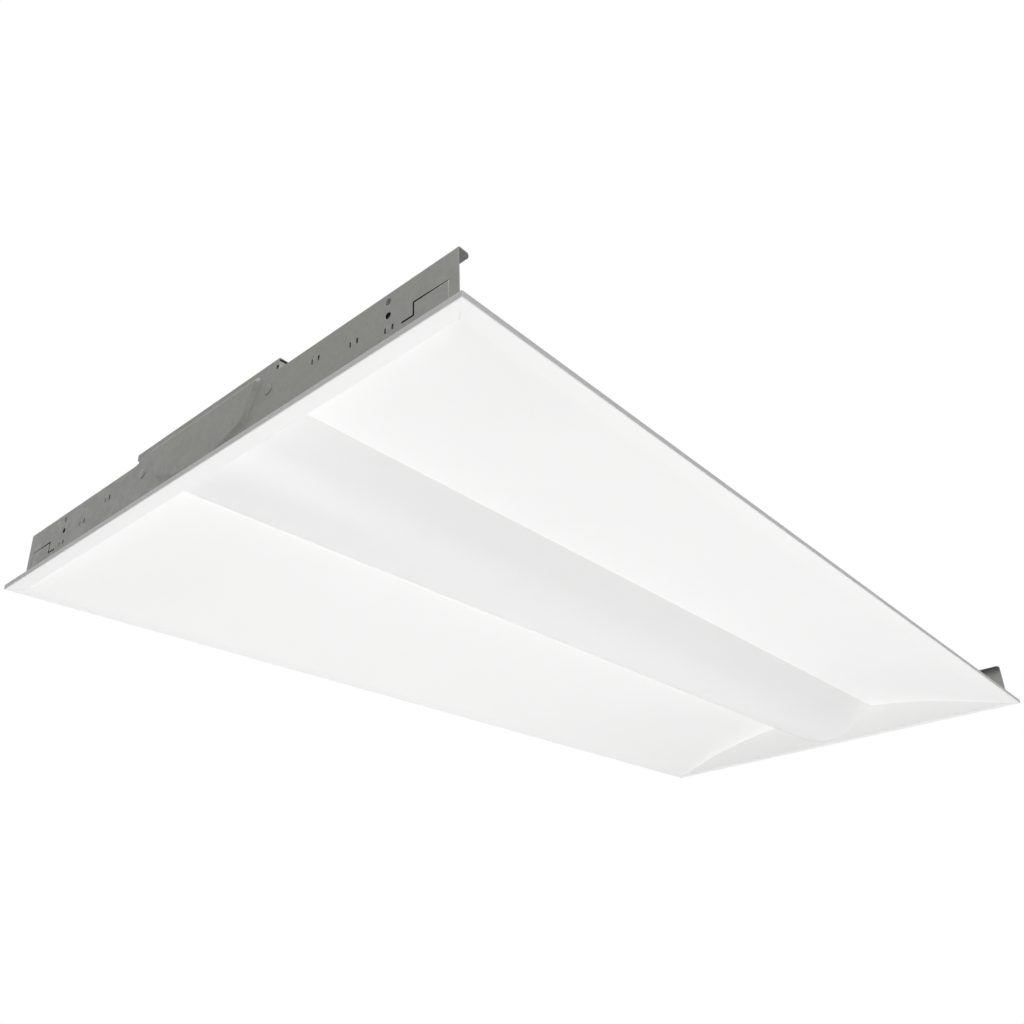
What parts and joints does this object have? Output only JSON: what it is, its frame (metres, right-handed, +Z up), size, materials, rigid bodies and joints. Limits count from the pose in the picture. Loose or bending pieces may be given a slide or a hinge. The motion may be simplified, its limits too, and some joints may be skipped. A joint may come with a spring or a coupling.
{
  "type": "recessed troffer light",
  "caption": "Recessed troffer light with a bulged centre lens, curved white side reflectors, leaning end panels and galvanised end plates with a pressed centre.",
  "frame": {"origin": "centre of the flange's underside, the face that rests on the ceiling tees", "axes": "+Z up into the ceiling, X along the fixture's length, Y across it; the driver housing is on the +Y side"},
  "size_m": [1.2128, 0.6032, 0.068],
  "materials": {
    "white_paint": "matte white powder coat",
    "galvanised": "galvanised sheet with a faint spangle",
    "rivet_metal": "bright",
    "screw_zinc": "zinc plated",
    "spring_steel": "bright spring strip",
    "board_white": "white solder mask",
    "phosphor": "yellow phosphor gel",
    "nylon": "natural nylon",
    "frosted_acrylic": "satin frosted",
    "driver_paint": "satin",
    "terminal_plastic": "moulded",
    "grommet_rubber": "matte",
    "ground_green": "satin green"
  },
  "bodies": {
    "housing": {"wing_left": "white_paint", "wing_right": "white_paint", "end_reflector_far": "white_paint", "end_reflector_near": "white_paint", "led_tray": "white_paint", "end_plate_far": "galvanised", "end_plate_near": "galvanised", "channel": "galvanised", "driver_housing": "galvanised", "driver_base": "galvanised", "lip_rivets": "rivet_metal", "clip_rivets": "rivet_metal", "housing_rivets": "rivet_metal", "tray_spacers": "nylon", "tray_screws": "screw_zinc", "board_screws": "screw_zinc", "driver_screws": "screw_zinc", "led_board_far_left": "board_white", "led_board_far_right": "board_white", "led_board_near_left": "board_white", "led_board_near_right": "board_white", "led_packages": "phosphor", "board_connectors": "nylon", "lens_clips": "spring_steel", "driver_case": "driver_paint", "driver_terminals": "terminal_plastic", "wire_grommet": "grommet_rubber", "ground_screw": "ground_green"},
    "grid_clip_far_left": {"grid_clip_far_left": "galvanised"},
    "grid_clip_far_right": {"grid_clip_far_right": "galvanised"},
    "grid_clip_near_left": {"grid_clip_near_left": "galvanised"},
    "grid_clip_near_right": {"grid_clip_near_right": "galvanised"},
    "lens": {"lens": "frosted_acrylic"},
    "access_cover": {"access_cover": "galvanised", "cover_screws": "screw_zinc"}
  },
  "joints": [
    {"name": "grid_clip_far_left_bend", "type": "hinge", "parent": "housing", "child": "grid_clip_far_left", "pos_m": [0.5946, 0.279, 0.0206], "axis": [0, 0, 1], "range_deg": [0, 90]},
    {"name": "grid_clip_far_right_bend", "type": "hinge", "parent": "housing", "child": "grid_clip_far_right", "pos_m": [0.5946, -0.279, 0.0206], "axis": [0, 0, -1], "range_deg": [0, 90]},
    {"name": "grid_clip_near_left_bend", "type": "hinge", "parent": "housing", "child": "grid_clip_near_left", "pos_m": [-0.5946, 0.279, 0.0206], "axis": [0, 0, -1], "range_deg": [0, 90]},
    {"name": "grid_clip_near_right_bend", "type": "hinge", "parent": "housing", "child": "grid_clip_near_right", "pos_m": [-0.5946, -0.279, 0.0206], "axis": [0, 0, 1], "range_deg": [0, 90]},
    {"name": "lens_drop", "type": "slide", "parent": "housing", "child": "lens", "axis": [0, 0, -1], "range_m": [0, 0.06]},
    {"name": "cover_lift", "type": "slide", "parent": "housing", "child": "access_cover", "axis": [0, 0, 1], "range_m": [0, 0.045]}
  ]
}
